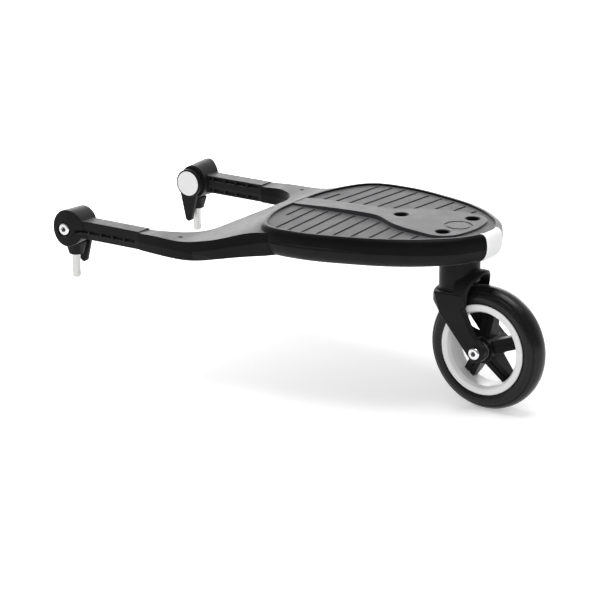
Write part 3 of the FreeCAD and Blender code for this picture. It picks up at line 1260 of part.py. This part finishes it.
def main():
    os.makedirs("parts", exist_ok=True)
    yoke_upper, deck_upper, yoke_lower, deck_lower, strip = chassis()
    save("yoke_upper", yoke_upper)
    save("yoke_lower", yoke_lower)
    save("deck_upper", deck_upper)
    save("deck_lower", deck_lower)
    save("reflector_strip", strip)
    mat, plate, badge = tread_and_plate()
    save_pair("tread_mat", mat)
    save("centre_plate", plate)
    save("badge_disc", badge)
    save("seat_sockets", Part.makeCompound(socket_cups()))
    save("cover_screws", Part.makeCompound([screw_up(*place) for place in cover_screw_places()]))
    save_pair("arm", arm())
    save_pair("pivot_bolt", pivot_bolt())
    save_pair("pivot_bush", pivot_bush())
    save_pair("pivot_insert", pivot_insert())
    save_pair("connector", connector())
    save_pair("lever_retainer", retainer(0.0))
    save_pair("lever", lever())
    save_pair("lever_cap", lever_cap())
    save_pair("pin", pin())
    save_pair("lock_balls", lock_balls())
    save_pair("plunger", plunger())
    save_pair("lock_button", lock_button())
    save_pair("button_spring", button_spring())
    save("caster_housing", caster_housing())
    save("housing_screws", housing_screws())
    save("swivel_bush_upper", swivel_bush(upper_flange_z(), False))
    save("swivel_bush_lower", swivel_bush(HOUSING_BOTTOM_Z, True))
    save("stem", stem())
    save("stem_clip", stem_clip())
    save("thrust_washer", thrust_washer())
    save("fork", fork())
    save("tyre", tyre())
    save("rim", rim())
    save("wheel_centre", wheel_centre())
    save("wheel_bearings", wheel_bearings())
    save("axle_spacers", axle_spacers())
    save("axle_bolt", axle_bolt())
    save("axle_nut", axle_nut())


main()
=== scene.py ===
import json
import math
import bmesh
import bpy
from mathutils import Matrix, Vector


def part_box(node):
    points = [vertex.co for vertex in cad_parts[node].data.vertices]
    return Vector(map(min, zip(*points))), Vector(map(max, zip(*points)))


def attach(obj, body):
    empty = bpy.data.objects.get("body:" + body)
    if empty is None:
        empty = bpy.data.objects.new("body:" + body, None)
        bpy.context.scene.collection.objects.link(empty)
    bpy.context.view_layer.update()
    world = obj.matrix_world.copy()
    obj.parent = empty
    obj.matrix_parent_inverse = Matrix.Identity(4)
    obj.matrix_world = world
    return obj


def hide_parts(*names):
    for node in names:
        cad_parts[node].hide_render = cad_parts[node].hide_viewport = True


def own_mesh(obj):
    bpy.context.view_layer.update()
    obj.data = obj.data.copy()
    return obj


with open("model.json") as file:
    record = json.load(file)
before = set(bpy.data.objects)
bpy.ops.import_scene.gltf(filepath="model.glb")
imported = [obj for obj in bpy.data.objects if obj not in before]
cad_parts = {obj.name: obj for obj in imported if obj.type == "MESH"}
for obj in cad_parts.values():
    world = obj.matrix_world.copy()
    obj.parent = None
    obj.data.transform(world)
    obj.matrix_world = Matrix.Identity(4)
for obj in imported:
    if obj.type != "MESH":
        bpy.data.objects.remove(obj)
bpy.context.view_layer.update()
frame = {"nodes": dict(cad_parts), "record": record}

scene = bpy.context.scene
scene.view_settings.view_transform = "Standard"

WHITE = (1, 1, 1, 1)

# Places of the model, in metres
FLOOR_Z = -0.132
AXLE = Vector((0.4961, 0.0, -0.0595))
HUB_Z = 0.0342
DECK = Vector((0.365, 0.0, 0.03))

# Key sockets of the chrome bolts, painted dark as shade in their recesses: radius, width of the
# edge, x and z of each axis, then the colour of the painted shade
SOCKET_R = 0.0030
SOCKET_EDGE = 0.0004
SOCKET_AXES = ((0.0, HUB_Z), (AXLE.x, AXLE.z))
SOCKET_SHADE = (0.012, 0.012, 0.012, 1)

# Coil springs under the lock buttons
WIRE_R = 0.0005
WIRE_SIDES = 8
COIL_TURNS = 6
COIL_STEPS = 28                     # in one turn

# Camera fitted to the photograph
CAM_AZ = math.radians(34.1)
CAM_EL = math.radians(17.2)
CAM_DISTANCE = 3.89233
CAM_TARGET = Vector((0.23708, 0.0, 0.08319 + FLOOR_Z))
CAM_LENS = 198.02
CAM_SENSOR = 36.0
CAM_CLIP_END = 50.0

# Ground directions seen from the camera
BEHIND = Vector((-math.sin(CAM_AZ), math.cos(CAM_AZ), 0.0))
RIGHT = Vector((math.cos(CAM_AZ), math.sin(CAM_AZ), 0.0))
UP = Vector((0.0, 0.0, 1.0))

# Light of the studio, where 1 is full white: on matt surfaces, then in gloss
ROOM = 0.4
OPEN_SIDE = 0.30
OPEN_END, BACKDROP_START = -0.35, 0.25      # along BEHIND, in a direction of length 1
FLOOR_GLOSS = 0.42                          # at most

# Floor, and the glow that whitens it with the distance from the wheel; the weaker glow near the
# wheel is painted shade round it
FLOOR_SIZE = 6.0
FLOOR_COLOUR = (0.86, 0.86, 0.86, 1)
GLOW_NEAR, GLOW_FAR = 0.30, 1.0
GLOW_START, GLOW_END = 0.08, 1.05

# Noise of the finishes: scale, detail and roughness
GRAIN_DETAIL = (2.0, 0.6)
FLOW = (22.0, 4.0, 0.6)
HAZE = (70.0, 5.0, 0.65)
MAT_GRAIN = (2400.0, 2.0, 0.6)
MAT_WEAR = (45.0, 5.0, 0.7)
TYRE_GRAIN = (1800.0, 3.0, 0.6)
TYRE_DUST = (38.0, 5.0, 0.7)
TOOL_MARKS = (900.0, 3.0, 0.6)
METAL_HAZE = (120.0, 4.0, 0.6)
NOISE_LOW, NOISE_HIGH = 0.3, 0.7

# Bumps of the finishes: strength, and depth in metres
HAZE_BUMP = (0.03, 0.0004)
PEBBLE_BUMP = (0.5, 0.00025)
MAT_BUMP = (0.3, 0.0001)
RING_BUMP = (0.12, 0.0002)
TYRE_BUMP = (0.2, 0.00012)
TOOL_BUMP = (0.15, 0.00003)

# Other values of the finishes
SHEEN_ROUGH = 0.3
PEBBLES = 900.0                     # scale of the pebble grain
GRAIN_SHARE = 0.65                  # of the fine grain in the mat's pale tips
TIPS_LOW, TIPS_HIGH = 0.38, 0.66
MOULD_RINGS = 2600.0                # radians in a metre of radius


class Nodes:
    """Short way to write a node tree."""

    def __init__(self, tree):
        self.tree = tree
        tree.nodes.clear()

    def add(self, kind, inputs=None, **settings):
        node = self.tree.nodes.new(kind)
        for key, value in settings.items():
            setattr(node, key, value)
        for key, value in (inputs or {}).items():
            self.put(node.inputs[key], value)
        return node

    def put(self, socket, value):
        if isinstance(value, bpy.types.NodeSocket):
            self.tree.links.new(value, socket)
        else:
            socket.default_value = value

    def math(self, operation, a, b=0.0):
        node = self.add("ShaderNodeMath", operation=operation)
        self.put(node.inputs[0], a)
        self.put(node.inputs[1], b)
        return node.outputs[0]

    def place(self):
        return self.add("ShaderNodeTexCoord").outputs["Object"]

    def radius(self, place, x, z):
        """Distance from the axis that runs along y through x and z."""
        split = self.add("ShaderNodeSeparateXYZ", {"Vector": place})
        along = self.math("SUBTRACT", split.outputs["X"], x)
        up = self.math("SUBTRACT", split.outputs["Z"], z)
        squares = self.math("MULTIPLY", along, along), self.math("MULTIPLY", up, up)
        return self.math("SQRT", self.math("ADD", *squares))

    def noise(self, scale, detail, rough, vector=None):
        node = self.add("ShaderNodeTexNoise", {
            "Vector": vector or self.place(), "Scale": scale, "Detail": detail,
            "Roughness": rough})
        return node.outputs["Fac"]

    def spread(self, value, low, high, start=NOISE_LOW, end=NOISE_HIGH):
        node = self.add("ShaderNodeMapRange", {
            "Value": value, "From Min": start, "From Max": end, "To Min": low, "To Max": high})
        return node.outputs["Result"]

    def between(self, value, dark, light, start=NOISE_LOW, end=NOISE_HIGH):
        node = self.add("ShaderNodeValToRGB", {"Fac": value})
        ramp = node.color_ramp.elements
        ramp[0].position, ramp[0].color = start, (*dark, 1)
        ramp[1].position, ramp[1].color = end, (*light, 1)
        return node.outputs["Color"]

    def bump(self, height, strength, depth, under=None):
        node = self.add("ShaderNodeBump", {
            "Height": height, "Strength": strength, "Distance": depth})
        if under is not None:
            self.put(node.inputs["Normal"], under)
        return node.outputs["Normal"]

    def surface(self, shader):
        out = self.add("ShaderNodeOutputMaterial")
        self.put(out.inputs["Surface"], shader)

    def polymer(self, colour, roughness, specular, sheen, normal):
        shader = self.add("ShaderNodeBsdfPrincipled", {
            "Base Color": colour, "Roughness": roughness, "Specular IOR Level": specular,
            "Sheen Weight": sheen, "Sheen Roughness": SHEEN_ROUGH, "Normal": normal})
        self.surface(shader.outputs["BSDF"])


def new_material(name):
    material = bpy.data.materials.new(name)
    material.use_nodes = True
    return material, Nodes(material.node_tree)


def moulded(name, dark, light, rough, grain=2600.0, depth=0.00006, strength=0.25,
            specular=0.5, sheen=0.0):
    """Moulded plastic: spark-eroded grain, faint flow marks and handling sheen."""
    material, n = new_material(name)
    flow = n.noise(*FLOW)
    fine = n.noise(grain, *GRAIN_DETAIL)
    haze = n.noise(*HAZE)
    normal = n.bump(fine, strength, depth)
    normal = n.bump(haze, *HAZE_BUMP, normal)
    n.polymer(n.between(flow, dark, light), n.spread(haze, *rough), specular, sheen, normal)
    return material


def rubber_mat(name, dark, light, rough, specular, sheen):
    """Tread rubber: coarse pebble grain with paler worn tips."""
    material, n = new_material(name)
    pebble = n.add("ShaderNodeTexVoronoi", {"Vector": n.place(), "Scale": PEBBLES},
                   feature="SMOOTH_F1").outputs["Distance"]
    fine = n.noise(*MAT_GRAIN)
    wear = n.noise(*MAT_WEAR)
    tips = n.math("ADD", n.math("MULTIPLY", fine, GRAIN_SHARE),
                  n.math("MULTIPLY", wear, 1 - GRAIN_SHARE))
    normal = n.bump(pebble, *PEBBLE_BUMP)
    normal = n.bump(fine, *MAT_BUMP, normal)
    colour = n.between(tips, dark, light, TIPS_LOW, TIPS_HIGH)
    n.polymer(colour, n.spread(wear, *rough), specular, sheen, normal)
    return material


def tyre_rubber(name, dark, light, rough, specular, sheen):
    """Black tyre rubber: mould rings round the axle, fine grain and a little dust."""
    material, n = new_material(name)
    radius = n.radius(n.place(), AXLE.x, AXLE.z)
    rings = n.math("SINE", n.math("MULTIPLY", radius, MOULD_RINGS))
    fine = n.noise(*TYRE_GRAIN)
    dust = n.noise(*TYRE_DUST)
    normal = n.bump(rings, *RING_BUMP)
    normal = n.bump(fine, *TYRE_BUMP, normal)
    n.polymer(n.between(dust, dark, light), n.spread(dust, *rough), specular, sheen, normal)
    return material


def turned_metal(name, dark, light, rough, stretch=(1.0, 1.0, 1.0), sockets=()):
    """Metal with tool marks; stretch draws the marks out along the small axes.

    Each socket is the x and z of a bolt's key socket, whose recess is painted dark and not
    metallic: painted shade.
    """
    material, n = new_material(name)
    place = n.place()
    drawn = n.add("ShaderNodeMapping", {"Vector": place, "Scale": stretch}).outputs["Vector"]
    marks = n.noise(*TOOL_MARKS, drawn)
    haze = n.noise(*METAL_HAZE)
    colour = n.between(haze, dark, light)
    metallic = 1.0
    # Painted shade: inside each key socket the metal turns dark and not metallic
    for x, z in sockets:
        radius = n.radius(place, x, z)
        unshaded = n.spread(radius, 0.0, 1.0, SOCKET_R - SOCKET_EDGE, SOCKET_R)
        # Sockets 6, 7 and 2 are the colours of this node, whose names repeat
        mix = n.add("ShaderNodeMix", {"Factor": unshaded}, data_type="RGBA")
        n.put(mix.inputs[6], SOCKET_SHADE)
        n.put(mix.inputs[7], colour)
        colour = mix.outputs[2]
        metallic = n.math("MULTIPLY", metallic, unshaded)
    shader = n.add("ShaderNodeBsdfPrincipled", {
        "Base Color": colour, "Metallic": metallic, "Roughness": n.spread(marks, *rough),
        "Normal": n.bump(marks, *TOOL_BUMP)})
    n.surface(shader.outputs["BSDF"])
    return material


MOULDED = {
    "body_plastic": dict(dark=(0.0028, 0.0028, 0.0032), light=(0.0042, 0.0042, 0.0047),
                         rough=(0.32, 0.42), specular=0.07, sheen=0.56),
    # Glossier copy of the black plastic for the fork, caster housing, arms, connectors and
    # levers; its lighter colour is painted light that their faces catch
    "satin_lit_plastic": dict(dark=(0.006, 0.006, 0.0065), light=(0.009, 0.009, 0.0095),
                          rough=(0.36, 0.48), specular=0.12, sheen=0.45),
    # Lighter copy of the black plastic for the lower shells: the lighter colour is painted
    # reflection of the white floor, which they face
    "lower_plastic": dict(dark=(0.005, 0.005, 0.0055), light=(0.008, 0.008, 0.0085),
                          rough=(0.40, 0.52), specular=0.14, sheen=0.15),
    "wheel_plastic": dict(dark=(0.004, 0.004, 0.004), light=(0.006, 0.006, 0.006),
                          rough=(0.34, 0.46), specular=0.12, sheen=0.15),
    "button_plastic": dict(dark=(0.004, 0.004, 0.0045), light=(0.006, 0.006, 0.0065),
                           rough=(0.30, 0.40), specular=0.15, sheen=0.2),
    "socket_plastic": dict(dark=(0.003, 0.003, 0.003), light=(0.005, 0.005, 0.005),
                           rough=(0.55, 0.70), specular=0.1),
    "plate_plastic": dict(dark=(0.030, 0.030, 0.033), light=(0.038, 0.038, 0.041),
                          rough=(0.42, 0.50), grain=1900.0, depth=0.0001, strength=0.3,
                          specular=0.2, sheen=0.36),
    "white_plastic": dict(dark=(0.90, 0.90, 0.90), light=(0.94, 0.94, 0.94),
                          rough=(0.28, 0.38), grain=1500.0, depth=0.00003, strength=0.1),
    "rim_silver": dict(dark=(0.72, 0.715, 0.715), light=(0.80, 0.795, 0.795),
                       rough=(0.25, 0.36), grain=1300.0, depth=0.00003, strength=0.12),
    "bush_nylon": dict(dark=(0.70, 0.69, 0.64), light=(0.78, 0.77, 0.72),
                       rough=(0.40, 0.55)),
}

METALS = {
    "bright_steel": dict(dark=(0.64, 0.64, 0.63), light=(0.72, 0.72, 0.71),
                         rough=(0.36, 0.48), stretch=(1.0, 1.0, 0.05)),
    "zinc_steel": dict(dark=(0.48, 0.48, 0.50), light=(0.60, 0.60, 0.62),
                       rough=(0.28, 0.42)),
    "bolt_chrome": dict(dark=(0.72, 0.72, 0.73), light=(0.80, 0.80, 0.81),
                        rough=(0.10, 0.20), stretch=(1.0, 0.1, 1.0), sockets=SOCKET_AXES),
    "insert_brass": dict(dark=(0.62, 0.47, 0.20), light=(0.74, 0.58, 0.28),
                         rough=(0.22, 0.36), stretch=(1.0, 0.1, 1.0)),
}

MATERIALS = {
    **{name: moulded(name, **look) for name, look in MOULDED.items()},
    **{name: turned_metal(name, **look) for name, look in METALS.items()},
    "tread_rubber": rubber_mat("tread_rubber", dark=(0.034, 0.034, 0.036),
                               light=(0.095, 0.095, 0.099), rough=(0.50, 0.66),
                               specular=0.2, sheen=0.37),
    "tyre_rubber": tyre_rubber("tyre_rubber", dark=(0.004, 0.004, 0.004),
                               light=(0.008, 0.008, 0.008), rough=(0.20, 0.30),
                               specular=0.25, sheen=0.15),
}

# Nodes whose finish differs from that of their slot
# Parts painted lighter with the lit copy of the black plastic
SATIN_LIT = ("arm_left", "arm_right", "connector_left", "connector_right",
         "lever_left", "lever_right", "fork", "caster_housing")
FINISH = {**dict.fromkeys(SATIN_LIT, "satin_lit_plastic"), "yoke_lower": "body_plastic"}


def dress_nodes():
    for part in frame["record"]["subparts"]:
        name = part["node"]
        finish = MATERIALS[FINISH.get(name, part["material_slot"])]
        mesh = frame["nodes"][name].data
        mesh.materials.clear()
        mesh.materials.append(finish)


def add_spring(side):
    """Coil spring under a lock button, which stands in for the hidden spring part."""
    node, joint = f"button_spring_{side}", f"{side}_button_press"
    low, high = (Vector(corner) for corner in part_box(node))
    middle = (low + high) / 2
    coil_r = (high.x - low.x) / 2 - WIRE_R
    rise = high.z - low.z - 2 * WIRE_R
    steps = COIL_TURNS * COIL_STEPS
    shape = bmesh.new()
    rings = []
    for step in range(steps + 1):
        turn = 2 * math.pi * step / COIL_STEPS
        # The first and the last turn lie flat
        share = min(max((step - COIL_STEPS) / (steps - 2 * COIL_STEPS), 0.0), 1.0)
        out = Vector((math.cos(turn), math.sin(turn), 0.0))
        centre = Vector((middle.x, middle.y, low.z + WIRE_R + rise * share)) + out * coil_r
        ring = []
        for k in range(WIRE_SIDES):
            angle = 2 * math.pi * k / WIRE_SIDES
            offset = out * math.cos(angle) + UP * math.sin(angle)
            ring.append(shape.verts.new(centre + offset * WIRE_R))
        rings.append(ring)
    for a, b in zip(rings, rings[1:]):
        for k in range(WIRE_SIDES):
            following = (k + 1) % WIRE_SIDES
            shape.faces.new((a[k], a[following], b[following], b[k]))
    shape.faces.new(rings[0])
    shape.faces.new(rings[-1])
    bmesh.ops.recalc_face_normals(shape, faces=shape.faces)
    mesh = bpy.data.meshes.new(f"button_coil_{side}")
    shape.to_mesh(mesh)
    shape.free()
    mesh.shade_smooth()
    mesh.materials.append(MATERIALS["zinc_steel"])
    coil = bpy.data.objects.new(f"button_coil_{side}", mesh)
    scene.collection.objects.link(coil)
    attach(coil, "board")
    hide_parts(node)
    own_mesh(coil)


def add_camera():
    data = bpy.data.cameras.new("camera")
    data.sensor_width = CAM_SENSOR
    data.lens = CAM_LENS
    data.clip_end = CAM_CLIP_END
    camera = bpy.data.objects.new("camera", data)
    scene.collection.objects.link(camera)
    back = UP * math.sin(CAM_EL) - BEHIND * math.cos(CAM_EL)
    camera.location = CAM_TARGET + back * CAM_DISTANCE
    camera.rotation_euler = back.to_track_quat("Z", "Y").to_euler()
    scene.camera = camera


def by_deck(right, behind, up):
    return DECK + RIGHT * right + BEHIND * behind + UP * up


def add_softbox(name, place, aim, size, power, gloss=True):
    data = bpy.data.lights.new(name, "AREA")
    data.shape = "RECTANGLE"
    data.size, data.size_y = size
    data.energy = power
    light = bpy.data.objects.new(name, data)
    scene.collection.objects.link(light)
    light.location = place
    light.rotation_euler = (place - aim).to_track_quat("Z", "Y").to_euler()
    light.visible_camera = False
    light.visible_glossy = gloss


def add_floor():
    """White floor that takes the shadows and fades into the backdrop; its glow is weaker near
    the wheel, which paints shade round it.
    """
    mesh = bpy.data.meshes.new("floor")
    shape = bmesh.new()
    bmesh.ops.create_grid(shape, x_segments=2, y_segments=2, size=FLOOR_SIZE)
    shape.to_mesh(mesh)
    shape.free()
    floor = bpy.data.objects.new("floor", mesh)
    scene.collection.objects.link(floor)
    floor.location = (AXLE.x, AXLE.y, FLOOR_Z)
    material, n = new_material("floor")
    paths = n.add("ShaderNodeLightPath").outputs
    away = n.add("ShaderNodeVectorMath", {0: n.place()}, operation="LENGTH").outputs["Value"]
    # Painted shade: the glow is weakest near the wheel
    whiten = n.spread(away, GLOW_NEAR, GLOW_FAR, GLOW_START, GLOW_END)
    mirrored = n.math("MAXIMUM", paths["Is Glossy Ray"], paths["Is Transmission Ray"])
    seen = n.math("MULTIPLY", paths["Is Camera Ray"], whiten)
    gloss = n.math("MULTIPLY", mirrored, n.math("MINIMUM", whiten, FLOOR_GLOSS))
    matt = n.add("ShaderNodeBsdfDiffuse", {"Color": FLOOR_COLOUR})
    glow = n.add("ShaderNodeEmission", {"Color": WHITE, "Strength": n.math("ADD", seen, gloss)})
    both = n.add("ShaderNodeAddShader", {0: matt.outputs[0], 1: glow.outputs[0]})
    n.surface(both.outputs[0])
    mesh.materials.append(material)


def add_world():
    """White backdrop behind the object; the open side of the studio shows darker in gloss."""
    world = bpy.data.worlds.new("studio")
    scene.world = world
    world.use_nodes = True
    n = Nodes(world.node_tree)

    def background(strength):
        node = n.add("ShaderNodeBackground", {"Color": WHITE, "Strength": strength})
        return node.outputs[0]

    def choose(share, first, second):
        return n.add("ShaderNodeMixShader", {"Fac": share, 1: first, 2: second}).outputs[0]

    paths = n.add("ShaderNodeLightPath").outputs
    way = n.add("ShaderNodeTexCoord").outputs["Generated"]
    toward = n.add("ShaderNodeVectorMath", {0: way, 1: BEHIND}, operation="DOT_PRODUCT")
    backdrop = n.spread(toward.outputs["Value"], OPEN_SIDE, 1.0, OPEN_END, BACKDROP_START)
    mirrored = n.math("MAXIMUM", paths["Is Glossy Ray"], paths["Is Transmission Ray"])
    lit = choose(mirrored, background(ROOM), background(backdrop))
    shown = choose(paths["Is Camera Ray"], lit, background(1.0))
    n.add("ShaderNodeOutputWorld", {"Surface": shown})


add_camera()
add_world()
add_floor()
add_softbox("top", by_deck(right=0.3, behind=-0.3, up=2.0), aim=DECK,
            size=(1.0, 1.0), power=20.0)
add_softbox("back", by_deck(right=0.18, behind=1.6, up=0.5), aim=DECK,
            size=(2.2, 0.8), power=15.0)
add_softbox("front", by_deck(right=-0.3, behind=-2.0, up=0.9),
            aim=by_deck(right=-0.2, behind=0.0, up=0.0),
            size=(1.8, 1.2), power=20.0, gloss=False)
dress_nodes()
for side in ("left", "right"):
    add_spring(side)
